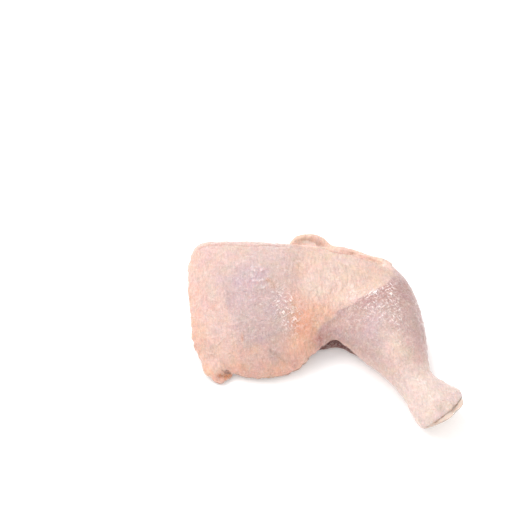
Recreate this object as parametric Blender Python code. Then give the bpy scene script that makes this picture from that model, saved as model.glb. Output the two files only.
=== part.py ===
"""A raw chicken leg, thigh and drumstick in one, lying on its meat side with the skin up.

The leg is one solid of skin-covered meat: a broad thigh, the bent knee, the drumstick, the thin
shank and the knuckle. A lip of loose skin stands on the thigh's back edge, a rolled edge runs on
from its rim to the knee, and a corner of skin is tucked under at the front. The shank bone runs
through the drumstick, and the two knobs of its joint end show at the cut knuckle.

Lengths are in millimetres and are turned to metres where a mesh is made. +X runs from the hip to
the knuckle, +Y to the thigh's back edge and +Z up. The origin is under the middle of the leg's box.
"""

from typing import NamedTuple

import bmesh
import bpy
import numpy as np

MM = 0.001

# How finely the surfaces are sampled
SECTIONS_A_STATION = 5
POINTS_ROUND_LEG = 56
CAP_RINGS = 6
RIM_RINGS = 3
LIP_SECTIONS = 23
POINTS_ROUND_LIP = 14
POINTS_ROUND_ROPE = 12
FINGER_SECTIONS = 12
POINTS_ROUND_FINGER = 18
BONE_SECTIONS = 20
POINTS_ROUND_BONE = 32

# The hip end is rounded over this length, its corners by the power of their outline, and it goes
# on sloping down by this share of its height
HIP_CAP = 15.0
HIP_CORNER = 3.2
HIP_SLOPE = 0.33

# A ring that closes a rounded end shrinks no further than this share of its size
SMALLEST_RING = 0.02

# The knuckle's cut: the share of the stations where skin and meat end, short of the bone's knobs,
# the radius of the skin's edge, how far its middle stands out past its sides, and the shrunk rings
# that carry its face inwards
SKIN_END = 11.4
KNUCKLE_RIM = 0.9
KNUCKLE_BULGE = 2.8
CUT_RINGS = (0.72, 0.4)

# The way the leg runs on at its cut is read over this share of a station
LOOK_BACK = 0.1

# Room between the bone and the meat round it
BONE_CLEARANCE = 0.35


class Station(NamedTuple):
    """One cross-section of the leg: a chord between its outer and inner side, and its fullness.

    outer and inner are (x, y, z) at the level where the section is widest. top and under are the
    heights above and below the chord, and the crest leans to the outer side where crest is above 0.
    squareness is the power of the section's rounded outline, 2 for an ellipse. lean is how far the
    section leans on towards the knuckle, as a share of the height.
    """

    outer: tuple
    inner: tuple
    top: float
    under: float
    crest: float
    squareness: float
    lean: float


# From the hip's cut end, over the thigh and the knee, down the drumstick to the cut knuckle
STATIONS = [
    Station((-69.5, 59.5, 12.0), (-61.0, -34.0, 6.0), 16.0, 11.0, 0.15, 2.5, 0.0),
    Station((-50.0, 57.0, 13.0), (-47.0, -38.5, 5.5), 23.0, 12.5, 0.15, 2.4, 0.0),
    Station((-28.0, 54.5, 13.0), (-30.0, -40.5, 5.5), 26.0, 12.5, 0.15, 2.3, 0.0),
    Station((-5.0, 53.0, 13.0), (-12.0, -34.0, 6.5), 24.0, 11.5, 0.15, 2.3, 0.0),
    Station((20.0, 50.5, 14.0), (3.0, -22.0, 12.0), 17.8, 9.5, 0.15, 2.2, 0.0),
    Station((45.0, 43.0, 15.0), (12.0, -18.0, 14.5), 16.0, 10.5, 0.10, 2.1, 0.0),
    Station((60.0, 23.0, 17.0), (20.5, -23.5, 14.0), 20.0, 16.0, 0.0, 2.0, 0.0),
    Station((66.5, -2.0, 17.0), (30.0, -33.0, 14.5), 18.5, 16.2, 0.0, 2.0, 0.0),
    Station((69.0, -24.0, 14.5), (42.0, -45.0, 13.5), 13.0, 13.0, 0.0, 2.0, 0.0),
    Station((69.5, -43.0, 12.5), (51.5, -58.5, 12.5), 10.0, 10.5, 0.0, 2.0, 0.0),
    Station((77.5, -51.5, 12.5), (56.5, -71.5, 12.5), 11.5, 12.7, 0.0, 2.0, 0.1),
    Station((84.5, -56.0, 12.5), (61.0, -79.5, 12.5), 12.0, 12.8, 0.0, 2.1, 0.25),
    Station((85.0, -60.0, 12.0), (64.5, -81.5, 12.0), 10.5, 11.8, 0.0, 2.2, 0.4),
]

# The thigh's meat ends and the web of skin before the knee begins at a shallow valley: points on it
VALLEY_Y = [-24.0, 0.0, 24.0, 44.0]
VALLEY_X = [-12.0, -10.0, -9.0, -6.0]
VALLEY_DEPTH = 1.7
VALLEY_HALF_WIDTH = 9.0

# The fat skin of the web ends in a low step across the drumstick's root, from crotch to knee. The
# step is this wide, and the drumstick rises back from it over the fade's length
FAT_EDGE_Y = [-16.5, -13.9, -8.9, -4.4, -1.9, 0.6, 3.2, 5.3, 12.1, 18.3, 24.4, 30.0]
FAT_EDGE_X = [1.0, 4.0, 10.4, 15.6, 21.4, 26.2, 30.9, 37.6, 46.4, 47.6, 50.9, 52.0]
FAT_STEP = 0.9
FAT_STEP_WIDTH = 3.0
FAT_STEP_FADE = 24.0

# The lip's wall of skin: its foot's route along the thigh's back edge, and how high and how far
# back its top is
LIP_ROUTE = [
    (-16.0, 50.5, 22.0),
    (-10.0, 51.5, 22.0),
    (-2.0, 51.5, 22.0),
    (5.0, 50.5, 22.0),
    (10.0, 48.5, 22.0),
]
LIP_RISE = [2.0, 7.0, 8.4, 6.0, 2.0]
LIP_LEAN = [0.6, 2.2, 3.4, 2.2, 0.6]
LIP_DEPTH = 9.0
LIP_THICKNESS = 1.8
LIP_FOOT_THICKNESS = 3.6

# How far the lip's front spreads at its foot, so that it is a shallow dish
LIP_SKIRT = 5.0

# The lip's thickness dies away at its two ends: the share it starts from and the power it grows by
LIP_TIP = 0.02
LIP_BLUNTNESS = 0.35

# The rolled edge of the skin, from the lip's rim to the knee: its route and its radius along it
ROLL_ROUTE = [
    (-16.0, 49.5, 21.5),
    (-13.2, 51.3, 26.6),
    (-9.9, 52.2, 29.0),
    (-6.0, 52.6, 30.0),
    (-1.4, 52.6, 30.0),
    (3.2, 52.0, 28.7),
    (6.8, 50.6, 26.6),
    (9.9, 48.2, 25.4),
    (13.6, 45.2, 26.0),
    (18.8, 44.2, 26.6),
    (23.9, 43.2, 26.6),
    (28.9, 41.2, 26.9),
    (33.4, 38.2, 27.7),
    (37.6, 35.6, 28.3),
    (42.0, 33.8, 28.5),
]
ROLL_RADII = [1.0, 1.5, 1.7, 1.9, 2.3, 2.7, 2.6, 2.1, 2.3, 2.3, 1.8, 1.7, 1.4, 1.2, 1.0]
ROLL_SECTIONS = 44

# The lower lip of the tucked corner's fold
FOLD_ROUTE = [(-64.0, -38.0, 3.4), (-61.0, -40.4, 2.9), (-57.0, -39.6, 2.7), (-52.5, -36.5, 2.5)]
FOLD_RADII = [2.4, 2.2, 2.0, 1.6]
FOLD_SECTIONS = 11

# The raw meat that shows in the gap under the web, between thigh and drumstick
MEAT_ROUTE = [
    (2.0, -16.2, 3.8),
    (7.0, -13.6, 4.5),
    (12.0, -12.0, 4.7),
    (17.5, -13.2, 4.5),
    (23.5, -16.8, 4.0),
    (28.0, -21.0, 3.8),
]
MEAT_RADII = [2.2, 3.7, 4.1, 3.7, 2.8, 1.8]
MEAT_SECTIONS = 13

# Ropes of skin or meat are rounded off at their ends by this power
ROPE_BLUNTNESS = 16

# The small flap that lies along the knee's outer corner, where the web's skin ends
FLAP_ROUTE = [(35.0, 36.5, 24.8), (43.0, 33.6, 26.4), (50.6, 29.6, 27.2)]
FLAP_WIDTH = 3.6
FLAP_HEIGHT = 3.0

# The tucked corner of skin: a blunt finger that comes out of the thigh's front corner
TUCK_ROUTE = [(-64.6, -18.0, 8.0), (-63.4, -29.0, 6.5), (-61.4, -40.0, 5.0)]
TUCK_WIDTH = 7.6
TUCK_HEIGHT = 5.6

# Fingers of skin are kept this far off the ground, and are rounded off at the tip by this power
FINGER_LIFT = 0.4
FINGER_BLUNTNESS = 6

# The shank bone, by station: a knob in the knee, a thin shaft and the broad end at the cut
BONE_STATIONS = [4.6, 5.2, 6.2, 8.6, 9.8, 11.0, 12.0]
BONE_WIDTHS = [5.0, 8.0, 4.4, 4.4, 9.0, 13.9, 14.3]
BONE_HEIGHTS = [5.0, 7.0, 4.2, 4.2, 6.8, 11.0, 10.6]

# The bone's end starts this far past the last station and is domed by so much more
BONE_REACH = 0.6
BONE_DOME = 2.4
BONE_DOME_RINGS = 5

# The groove that parts the bone's end into two knobs: its depth, its half width, over how many
# millimetres before the last station it fades in, and how deep in the bone lies what it aims at
GROOVE_DEPTH = 2.2
GROOVE_HALF_WIDTH = 3.4
GROOVE_FADE = 3.0
GROOVE_AIM = 6.0

SKIN_COLOUR = (0.83, 0.60, 0.52)
CARTILAGE_COLOUR = (0.85, 0.76, 0.66)


def through(values, shares, knots=None):
    """Read a smooth curve through values (one row a knot) at each of shares.

    Between two knots it is the cubic whose end slopes are those of the neighbouring knots' chords.
    """
    rows = np.asarray(values, float)
    if knots is None:
        knots = np.arange(len(rows))
    knots = np.asarray(knots, float)
    slopes = np.gradient(rows, knots, axis=0)
    left = np.clip(np.searchsorted(knots, shares, side="right") - 1, 0, len(knots) - 2)
    span = knots[left + 1] - knots[left]
    t = (shares - knots[left]) / span
    shape = (-1,) + (1,) * (rows.ndim - 1)
    t, span = t.reshape(shape), span.reshape(shape)
    start, end = rows[left], rows[left + 1]
    from_start, to_end = slopes[left] * span, slopes[left + 1] * span
    return (
        (2 * t**3 - 3 * t**2 + 1) * start
        + (t**3 - 2 * t**2 + t) * from_start
        + (3 * t**2 - 2 * t**3) * end
        + (t**3 - t**2) * to_end
    )


def relief(x, y):
    """Height added to the upper skin at plan places x, y: the valley and the fat skin's step."""
    held_y = np.clip(y, VALLEY_Y[0], VALLEY_Y[-1])
    from_valley = (x - through(VALLEY_X, held_y, VALLEY_Y)) / VALLEY_HALF_WIDTH
    valley = -VALLEY_DEPTH * np.exp(-(from_valley**2))
    held_y = np.clip(y, FAT_EDGE_Y[0], FAT_EDGE_Y[-1])
    past_edge = x - through(FAT_EDGE_X, held_y, FAT_EDGE_Y)
    drop = FAT_STEP * (1 + np.tanh(past_edge / FAT_STEP_WIDTH)) / 2
    step = -drop * np.exp(-((past_edge / FAT_STEP_FADE) ** 2))
    return valley + step


def leg_section(share, chord_scale=1.0, height_scale=1.0, points_round=POINTS_ROUND_LEG):
    """Points round the leg's section at a share of the stations, as an array of (x, y, z)."""
    at = np.array([share])
    outer = through([s.outer for s in STATIONS], at)[0]
    inner = through([s.inner for s in STATIONS], at)[0]
    fullness = [(s.top, s.under, s.crest, s.squareness, s.lean) for s in STATIONS]
    top, under, crest, squareness, lean = through(fullness, at)[0]
    angle = np.arange(points_round) * 2 * np.pi / points_round
    across = np.sign(np.cos(angle)) * np.abs(np.cos(angle)) ** (2 / squareness) * chord_scale
    upward = np.sign(np.sin(angle)) * np.abs(np.sin(angle)) ** (2 / squareness) * height_scale
    rise = np.where(upward > 0, top * (1 + crest * across), under) * upward
    middle, half = (outer + inner) / 2, (outer - inner) / 2
    points = middle + across[:, None] * half
    points[:, 2] += rise
    onward = np.array([half[1], -half[0], 0.0]) / np.hypot(half[0], half[1])
    to_cut = np.clip(share - (len(STATIONS) - 2), 0, 1)
    bulge = KNUCKLE_BULGE * to_cut**2 * (1 - across**2)
    points += onward * (rise * lean + bulge)[:, None]
    points[:, 2] += relief(points[:, 0], points[:, 1]) * np.clip(upward, 0, 1)
    return points


def cut_direction():
    """The way that the leg runs on at the knuckle's cut."""
    last = len(STATIONS) - 1
    outward = leg_section(last).mean(axis=0) - leg_section(last - LOOK_BACK).mean(axis=0)
    return outward / np.linalg.norm(outward)


def leg_rings():
    """The leg's sections from the rounded hip end to the rim and the cut at the knuckle."""
    last = len(STATIONS) - 1
    rings = []
    hip_direction = np.array([-1.0, 0.0, 0.0])
    for turn in np.linspace(np.pi / 2, 0, CAP_RINGS, endpoint=False):
        along = np.sin(turn)
        ring = leg_section(
            0,
            chord_scale=max((1 - along**HIP_CORNER) ** (1 / HIP_CORNER), SMALLEST_RING),
            height_scale=max(np.sqrt(1 - along**2), SMALLEST_RING) * (1 - HIP_SLOPE * along),
        )
        rings.append(ring + hip_direction * HIP_CAP * along)
    for share in np.linspace(0, SKIN_END, last * SECTIONS_A_STATION + 1):
        rings.append(leg_section(share))
    end = rings[-1]
    middle = end.mean(axis=0)
    radius = np.linalg.norm(end - middle, axis=1, keepdims=True)
    outward = cut_direction()
    for turn in np.linspace(0, np.pi / 2, RIM_RINGS + 1)[1:]:
        shrunk = middle + (end - middle) * (1 - KNUCKLE_RIM * (1 - np.cos(turn)) / radius)
        rings.append(shrunk + outward * KNUCKLE_RIM * np.sin(turn))
    for scale in CUT_RINGS:
        cut = leg_section(SKIN_END, chord_scale=scale, height_scale=scale)
        rings.append(cut + outward * KNUCKLE_RIM)
    for ring in rings:
        ring[:, 2] = np.maximum(ring[:, 2], 0.0)
    return rings


def tube_rings(route, widths, heights, shares, round_points, upwards=(0.0, 0.0, 1.0)):
    """Elliptical rings square to a route, with their width square to the way upwards."""
    centres = through(route, shares * (len(route) - 1))
    along = np.gradient(centres, axis=0)
    along /= np.linalg.norm(along, axis=1, keepdims=True)
    sideways = np.cross(along, upwards)
    sideways /= np.linalg.norm(sideways, axis=1, keepdims=True)
    upright = np.cross(sideways, along)
    angle = np.arange(round_points) * 2 * np.pi / round_points
    return [
        centres[i]
        + np.cos(angle)[:, None] * sideways[i] * widths[i]
        + np.sin(angle)[:, None] * upright[i] * heights[i]
        for i in range(len(shares))
    ]


def solid_from_rings(name, rings):
    """A closed object from rings of equal length, each end closed by a fan of triangles."""
    bm = bmesh.new()
    rows = [[bm.verts.new(point * MM) for point in ring] for ring in rings]
    for row, following in zip(rows, rows[1:]):
        for i in range(len(row)):
            j = (i + 1) % len(row)
            bm.faces.new((row[i], row[j], following[j], following[i]))
    for row, ring in ((rows[0], rings[0]), (rows[-1], rings[-1])):
        pole = bm.verts.new(ring.mean(axis=0) * MM)
        for i in range(len(row)):
            bm.faces.new((row[i], row[(i + 1) % len(row)], pole))
    bmesh.ops.recalc_face_normals(bm, faces=bm.faces)
    mesh = bpy.data.meshes.new(name)
    bm.to_mesh(mesh)
    bm.free()
    mesh.shade_smooth()
    piece = bpy.data.objects.new(name, mesh)
    bpy.context.scene.collection.objects.link(piece)
    return piece


def make_leg_body():
    """The thigh, knee, drumstick and knuckle as one loft."""
    return solid_from_rings("leg", leg_rings())


def make_lip():
    """The lip's wall of loose skin: thin, with its foot sunk in the thigh."""
    shares = np.linspace(0, len(LIP_ROUTE) - 1, LIP_SECTIONS)
    foot = through(LIP_ROUTE, shares)
    rise = through(LIP_RISE, shares)
    lean = through(LIP_LEAN, shares)
    ends = np.sin(np.pi * np.clip(shares / shares[-1], LIP_TIP, 1 - LIP_TIP)) ** LIP_BLUNTNESS
    angle = np.arange(POINTS_ROUND_LIP) * 2 * np.pi / POINTS_ROUND_LIP
    sunk = np.clip(-np.sin(angle), 0, 1)
    thickness = LIP_THICKNESS + (LIP_FOOT_THICKNESS - LIP_THICKNESS) * sunk
    along = np.gradient(foot, axis=0)
    along /= np.linalg.norm(along, axis=1, keepdims=True)
    back = np.cross((0.0, 0.0, 1.0), along)
    rings = []
    for i in range(LIP_SECTIONS):
        height = (rise[i] - LIP_DEPTH) / 2 + np.sin(angle) * (rise[i] + LIP_DEPTH) / 2
        leaning = lean[i] * np.clip(height / rise[i], 0, 1) ** 2
        spread = LIP_SKIRT * (1 - np.clip(height / rise[i], 0, 1) ** 2)
        across = np.sign(np.cos(angle)) * np.sqrt(np.abs(np.cos(angle))) * thickness / 2
        across = (across - spread * np.sqrt(np.clip(-np.cos(angle), 0, 1))) * ends[i]
        ring = foot[i] + back[i] * (across + leaning)[:, None]
        ring[:, 2] += height
        rings.append(ring)
    return solid_from_rings("lip", rings)


def make_rope(name, route, radii, sections):
    """A rope of skin or meat: circles of a changing radius along its route."""
    shares = np.linspace(0, 1, sections)
    rounded = np.sqrt(np.maximum(1 - np.abs(2 * shares - 1) ** ROPE_BLUNTNESS, SMALLEST_RING))
    sizes = through(radii, shares * (len(route) - 1)) * rounded
    rings = tube_rings(route, sizes, sizes, shares, POINTS_ROUND_ROPE, (0.0, 1.0, 0.0))
    return solid_from_rings(name, rings)


def make_finger(name, route, width, height):
    """A blunt finger of skin along a route, rounded at its tip and kept off the ground."""
    shares = np.sin(np.linspace(0, np.pi / 2, FINGER_SECTIONS))
    taper = np.maximum(np.sqrt(1 - shares**FINGER_BLUNTNESS), SMALLEST_RING)
    rings = tube_rings(route, width * taper, height * taper, shares, POINTS_ROUND_FINGER)
    for ring in rings:
        ring[:, 2] = np.maximum(ring[:, 2], FINGER_LIFT)
    return solid_from_rings(name, rings)


def grooved(ring, outward):
    """A ring of the bone with the groove between its two knobs pressed in towards its core."""
    end = STATIONS[-1]
    middle = (np.array(end.outer) + np.array(end.inner)) / 2
    sideways = np.array(end.outer) - np.array(end.inner)
    sideways /= np.linalg.norm(sideways)
    offset = ring - middle
    across = offset @ sideways
    fade = np.clip((offset @ outward + GROOVE_FADE) / GROOVE_FADE, 0, 1)
    from_core = offset - across[:, None] * sideways + outward * GROOVE_AIM
    from_core /= np.linalg.norm(from_core, axis=1, keepdims=True)
    pressed = GROOVE_DEPTH * fade * np.exp(-((across / GROOVE_HALF_WIDTH) ** 2))
    return ring - from_core * pressed[:, None]


def make_bone(name, clearance=0.0):
    """The shank bone along the middle of the leg's sections, grown by clearance on every side.

    Each of its rings is a leg section shrunk to the bone's width and height, so that its end lies
    in the knuckle's cut, and the rings of the dome shrink on from there.
    """
    shares = np.linspace(BONE_STATIONS[0], BONE_STATIONS[-1], BONE_SECTIONS)
    widths = through(BONE_WIDTHS, shares, BONE_STATIONS) + clearance
    heights = through(BONE_HEIGHTS, shares, BONE_STATIONS) + clearance
    ends = [(np.array(s.outer) - np.array(s.inner)) / 2 for s in STATIONS]
    halves = np.linalg.norm(through(ends, shares), axis=1)
    depths = through([(s.top + s.under) / 2 for s in STATIONS], shares)
    rings = [
        leg_section(share, widths[i] / halves[i], heights[i] / depths[i], POINTS_ROUND_BONE)
        for i, share in enumerate(shares)
    ]
    outward = cut_direction()
    for turn in np.linspace(0, np.pi / 2, BONE_DOME_RINGS + 1):
        shrink = max(np.cos(turn), SMALLEST_RING)
        dome = leg_section(
            shares[-1],
            widths[-1] / halves[-1] * shrink,
            heights[-1] / depths[-1] * shrink,
            POINTS_ROUND_BONE,
        )
        rings.append(dome + outward * (BONE_REACH + BONE_DOME * np.sin(turn)))
    if not clearance:
        rings = [grooved(ring, outward) for ring in rings]
    return solid_from_rings(name, rings)


def apply_boolean(piece, operation, operand=None, collection=None):
    """Join or cut piece with an object or a collection, and remove what was used."""
    modifier = piece.modifiers.new(operation.lower(), "BOOLEAN")
    modifier.operation = operation
    modifier.solver = "EXACT"
    if collection is None:
        modifier.object = operand
    else:
        modifier.operand_type = "COLLECTION"
        modifier.collection = collection
    evaluated = piece.evaluated_get(bpy.context.evaluated_depsgraph_get())
    mesh = bpy.data.meshes.new_from_object(evaluated)
    piece.modifiers.clear()
    piece.data = mesh
    used = [operand] if collection is None else list(collection.objects)
    for other in used:
        bpy.data.objects.remove(other)
    if collection is not None:
        bpy.data.collections.remove(collection)


def coat(piece, name, colour, roughness):
    """Give the piece its own material."""
    material = bpy.data.materials.new(name)
    material.use_nodes = True
    shader = material.node_tree.nodes["Principled BSDF"]
    shader.inputs["Base Color"].default_value = (*colour, 1.0)
    shader.inputs["Roughness"].default_value = roughness
    shader.inputs["Metallic"].default_value = 0.0
    piece.data.materials.clear()
    piece.data.materials.append(material)


def centre_on_origin(pieces):
    """Move the pieces together so that the origin is under the middle of their box."""
    corners = np.array([v.co for piece in pieces for v in piece.data.vertices])
    low, high = corners.min(axis=0), corners.max(axis=0)
    shift = np.array([(low[0] + high[0]) / 2, (low[1] + high[1]) / 2, low[2]])
    for piece in pieces:
        for vertex in piece.data.vertices:
            vertex.co = np.array(vertex.co) - shift


def main():
    for old in list(bpy.data.objects):
        bpy.data.objects.remove(old)
    leg = make_leg_body()
    folds = bpy.data.collections.new("folds")
    bpy.context.scene.collection.children.link(folds)
    flap = make_finger("knee_flap", FLAP_ROUTE, FLAP_WIDTH, FLAP_HEIGHT)
    tuck = make_finger("tuck", TUCK_ROUTE, TUCK_WIDTH, TUCK_HEIGHT)
    roll = make_rope("roll", ROLL_ROUTE, ROLL_RADII, ROLL_SECTIONS)
    edge = make_rope("fold", FOLD_ROUTE, FOLD_RADII, FOLD_SECTIONS)
    meat = make_rope("meat", MEAT_ROUTE, MEAT_RADII, MEAT_SECTIONS)
    for fold in (make_lip(), roll, flap, tuck, edge, meat):
        bpy.context.scene.collection.objects.unlink(fold)
        folds.objects.link(fold)
    apply_boolean(leg, "UNION", collection=folds)
    apply_boolean(leg, "DIFFERENCE", operand=make_bone("bone_room", BONE_CLEARANCE))
    bone = make_bone("shank_bone")
    coat(leg, "raw_skin", SKIN_COLOUR, 0.35)
    coat(bone, "cartilage", CARTILAGE_COLOUR, 0.3)
    centre_on_origin([leg, bone])


main()
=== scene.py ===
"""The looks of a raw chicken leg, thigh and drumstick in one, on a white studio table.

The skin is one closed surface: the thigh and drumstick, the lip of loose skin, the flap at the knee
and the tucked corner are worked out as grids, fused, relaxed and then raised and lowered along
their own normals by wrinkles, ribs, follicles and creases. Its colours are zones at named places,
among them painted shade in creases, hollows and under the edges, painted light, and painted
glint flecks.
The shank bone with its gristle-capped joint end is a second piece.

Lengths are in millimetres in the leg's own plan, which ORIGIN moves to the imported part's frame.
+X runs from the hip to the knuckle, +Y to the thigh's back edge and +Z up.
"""

from functools import partial
from itertools import product
from typing import NamedTuple

import bpy
import numpy as np
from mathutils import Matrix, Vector


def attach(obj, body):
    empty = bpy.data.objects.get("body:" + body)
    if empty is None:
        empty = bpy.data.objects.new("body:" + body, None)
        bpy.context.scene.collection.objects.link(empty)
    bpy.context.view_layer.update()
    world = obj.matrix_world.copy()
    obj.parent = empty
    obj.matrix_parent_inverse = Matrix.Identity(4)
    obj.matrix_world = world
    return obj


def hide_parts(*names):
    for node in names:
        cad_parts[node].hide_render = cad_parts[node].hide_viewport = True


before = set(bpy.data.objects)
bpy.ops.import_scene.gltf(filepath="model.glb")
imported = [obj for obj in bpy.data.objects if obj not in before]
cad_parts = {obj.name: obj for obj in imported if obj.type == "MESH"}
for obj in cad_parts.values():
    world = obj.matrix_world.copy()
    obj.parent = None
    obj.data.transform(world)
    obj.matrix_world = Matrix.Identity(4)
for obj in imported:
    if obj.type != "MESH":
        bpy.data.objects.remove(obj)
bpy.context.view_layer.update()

MM = 0.001

# The middle of the leg's box in the plan's lengths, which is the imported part's origin
ORIGIN = np.array([2.088, -11.537, 0.0])

# How many rings, and how many points round each, the grids have before they are fused
RINGS_A_STATION = 14
POINTS_ROUND = 200
CAP_RINGS = 24
RIM_RINGS = 8
LIP_RINGS = 150
ROPE_RINGS = 240
FINGER_RINGS = 60
POINTS_ROUND_SMALL = 48
BONE_RINGS = 90
POINTS_ROUND_BONE = 96

# The size of the fused skin's quads, how many rounds relax it, and the share that each goes
SKIN_PITCH = 0.71
RELAX_ROUNDS = 4
RELAX_SHARE = 0.5

# The hip end is rounded over this length, its corners by the power of their outline, and it goes
# on sloping down by this share of its height
HIP_CAP = 15.0
HIP_CORNER = 3.2
HIP_SLOPE = 0.33

# A ring that closes a rounded end shrinks no further than this share of its size
SMALLEST_RING = 0.002

# The powers by which a rope and a finger of skin round off at their ends
ROPE_BLUNTNESS = 16
FINGER_BLUNTNESS = 6

# The knuckle's cut: the share of the stations where skin and meat end, short of the bone's knobs,
# the radius of the skin's edge, how far its middle stands out past its sides, how far across the
# edge is fitted, and the shrunk rings that carry its face inwards
SKIN_END = 11.62
KNUCKLE_RIM = 0.9
KNUCKLE_BULGE = 3.6
EDGE_REACH = 20.0
CUT_RINGS = (0.93, 0.86, 0.72, 0.4)

# The way the leg runs on at its cut is read over this share of a station
LOOK_BACK = 0.1


class Station(NamedTuple):
    """One cross-section of the leg: a chord between its outer and inner side, and its fullness.

    top and under are the heights above and below the chord, and the crest leans to the outer side
    where crest is above 0. squareness is the power of the rounded outline, 2 for an ellipse. lean
    is how far the section leans on towards the knuckle, as a share of the height.
    """

    outer: tuple
    inner: tuple
    top: float
    under: float
    crest: float
    squareness: float
    lean: float


# From the hip's cut end, over the thigh and the knee, down the drumstick to the cut knuckle
STATIONS = [
    Station((-69.5, 59.5, 12.0), (-61.0, -34.0, 6.0), 16.0, 11.0, 0.15, 2.5, 0.0),
    Station((-50.0, 57.0, 13.0), (-47.0, -38.5, 5.5), 23.0, 12.5, 0.15, 2.4, 0.0),
    Station((-28.0, 54.5, 13.0), (-30.0, -40.5, 5.5), 26.0, 12.5, 0.15, 2.3, 0.0),
    Station((-5.0, 53.0, 13.0), (-12.0, -34.0, 6.5), 24.0, 11.5, 0.15, 2.3, 0.0),
    Station((20.0, 50.5, 14.0), (3.0, -22.0, 12.0), 17.8, 9.5, 0.15, 2.2, 0.0),
    Station((45.0, 43.0, 15.0), (12.0, -18.0, 14.5), 16.0, 10.5, 0.10, 2.1, 0.0),
    Station((60.0, 23.0, 17.0), (20.5, -23.5, 14.0), 20.0, 16.0, 0.0, 2.0, 0.0),
    Station((66.5, -2.0, 17.0), (30.0, -33.0, 14.5), 18.5, 16.2, 0.0, 2.0, 0.0),
    Station((69.0, -24.0, 14.5), (42.0, -45.0, 13.5), 13.0, 13.0, 0.0, 2.0, 0.0),
    Station((69.5, -43.0, 12.5), (51.5, -58.5, 12.5), 10.0, 10.5, 0.0, 2.0, 0.0),
    Station((77.5, -51.5, 12.5), (56.5, -71.5, 12.5), 11.5, 12.7, 0.0, 2.0, 0.1),
    Station((84.5, -56.0, 12.5), (61.0, -79.5, 12.5), 12.0, 12.8, 0.0, 2.1, 0.33),
    Station((85.0, -60.0, 12.0), (64.5, -81.5, 12.0), 10.5, 11.8, 0.0, 2.2, 0.56),
]
LAST = len(STATIONS) - 1

# The shallow valley in the upper skin where the thigh's meat ends
VALLEY_Y = [-24.0, 0.0, 24.0, 44.0]
VALLEY_X = [-12.0, -10.0, -9.0, -6.0]
VALLEY_DEPTH = 1.7
VALLEY_HALF_WIDTH = 9.0

# The edge of the web's fat skin across the drumstick's root, a step down that rises back slowly
FAT_EDGE_Y = [-16.5, -13.9, -8.9, -4.4, -1.9, 0.6, 3.2, 5.3, 12.1, 18.3, 24.4, 30.0]
FAT_EDGE_X = [1.0, 4.0, 10.4, 15.6, 21.4, 26.2, 30.9, 37.6, 46.4, 47.6, 50.9, 52.0]
FAT_STEP = 0.9
FAT_STEP_WIDTH = 3.0
FAT_STEP_FADE = 24.0

# The lip's wall of skin: its foot's route, and how high and how far back its top is
LIP_ROUTE = [
    (-16.0, 50.5, 22.0),
    (-10.0, 51.5, 22.0),
    (-2.0, 51.5, 22.0),
    (5.0, 50.5, 22.0),
    (10.0, 48.5, 22.0),
]
LIP_RISE = [2.0, 7.0, 8.4, 6.0, 2.0]
LIP_LEAN = [0.6, 2.2, 3.4, 2.2, 0.6]
LIP_DEPTH = 9.0
LIP_THICKNESS = 1.8
LIP_FOOT_THICKNESS = 3.6

# How far the lip's front face spreads at its foot, which makes it a shallow dish, and where and
# how bluntly its two ends thin out
LIP_SKIRT = 6.5
LIP_TIP = 0.02
LIP_BLUNTNESS = 0.35

# The rolled edge of the skin, from the lip's rim to the knee: its route and its radius along it
ROLL_ROUTE = [
    (-16.0, 49.5, 21.5),
    (-13.2, 51.3, 26.6),
    (-9.9, 52.2, 29.0),
    (-6.0, 52.6, 30.0),
    (-1.4, 52.6, 30.0),
    (3.2, 52.0, 28.7),
    (6.8, 50.6, 26.6),
    (9.9, 48.2, 25.4),
    (13.6, 45.2, 26.0),
    (18.8, 44.2, 26.6),
    (23.9, 43.2, 26.6),
    (28.9, 41.2, 26.9),
    (33.4, 38.2, 27.7),
    (37.6, 35.6, 28.3),
    (42.0, 33.8, 28.5),
]
ROLL_RADII = [1.0, 1.5, 1.7, 1.9, 2.3, 2.7, 2.6, 2.1, 2.3, 2.3, 1.8, 1.7, 1.4, 1.2, 1.0]

# The flap at the knee's outer corner, and the corner of skin tucked under at the front: their
# routes, half widths and half heights, and how far the loose skin stays above the table
FLAP_ROUTE = [(35.0, 36.5, 24.8), (43.0, 33.6, 26.4), (50.6, 29.6, 27.2)]
FLAP_WIDTH = 3.6
FLAP_HEIGHT = 3.0
TUCK_ROUTE = [(-64.6, -18.0, 8.0), (-63.4, -29.0, 6.5), (-61.4, -40.0, 5.0)]
TUCK_WIDTH = 7.6
TUCK_HEIGHT = 5.6
FINGER_LIFT = 0.4

# The lower lip of the tucked corner's fold, and the raw meat that shows in the gap under the web
FOLD_ROUTE = [(-64.0, -38.0, 3.4), (-61.0, -40.4, 2.9), (-57.0, -39.6, 2.7), (-52.5, -36.5, 2.5)]
FOLD_RADII = [2.4, 2.2, 2.0, 1.6]
MEAT_ROUTE = [
    (0.5, -18.0, 3.8),
    (6.0, -14.6, 4.5),
    (12.0, -12.8, 4.7),
    (18.0, -14.4, 4.5),
    (24.0, -18.4, 4.0),
    (28.5, -22.6, 3.8),
]
MEAT_RADII = [2.2, 3.7, 4.2, 3.8, 2.8, 1.8]

# The shank bone at these shares of the stations: its half widths and half heights there, then how
# far its end runs on past the last station, and how far its dome stands out
BONE_STATIONS = [4.6, 5.2, 6.2, 8.6, 9.8, 11.0, 12.0]
BONE_WIDTHS = [5.0, 8.0, 4.4, 4.4, 9.0, 14.5, 14.3]
BONE_HEIGHTS = [5.0, 7.0, 4.2, 4.2, 6.8, 11.6, 11.0]
BONE_REACH = -0.2
BONE_DOME = 1.2

# The groove between the joint's two knobs: how deep and how wide it is
GROOVE_DEPTH = 1.3
GROOVE_HALF_WIDTH = 3.2

# The drumstick's line in plan, from the knee on
DRUM_START = np.array([40.0, 0.0])
DRUM_ALONG = np.array([0.457, -0.889])


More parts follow.
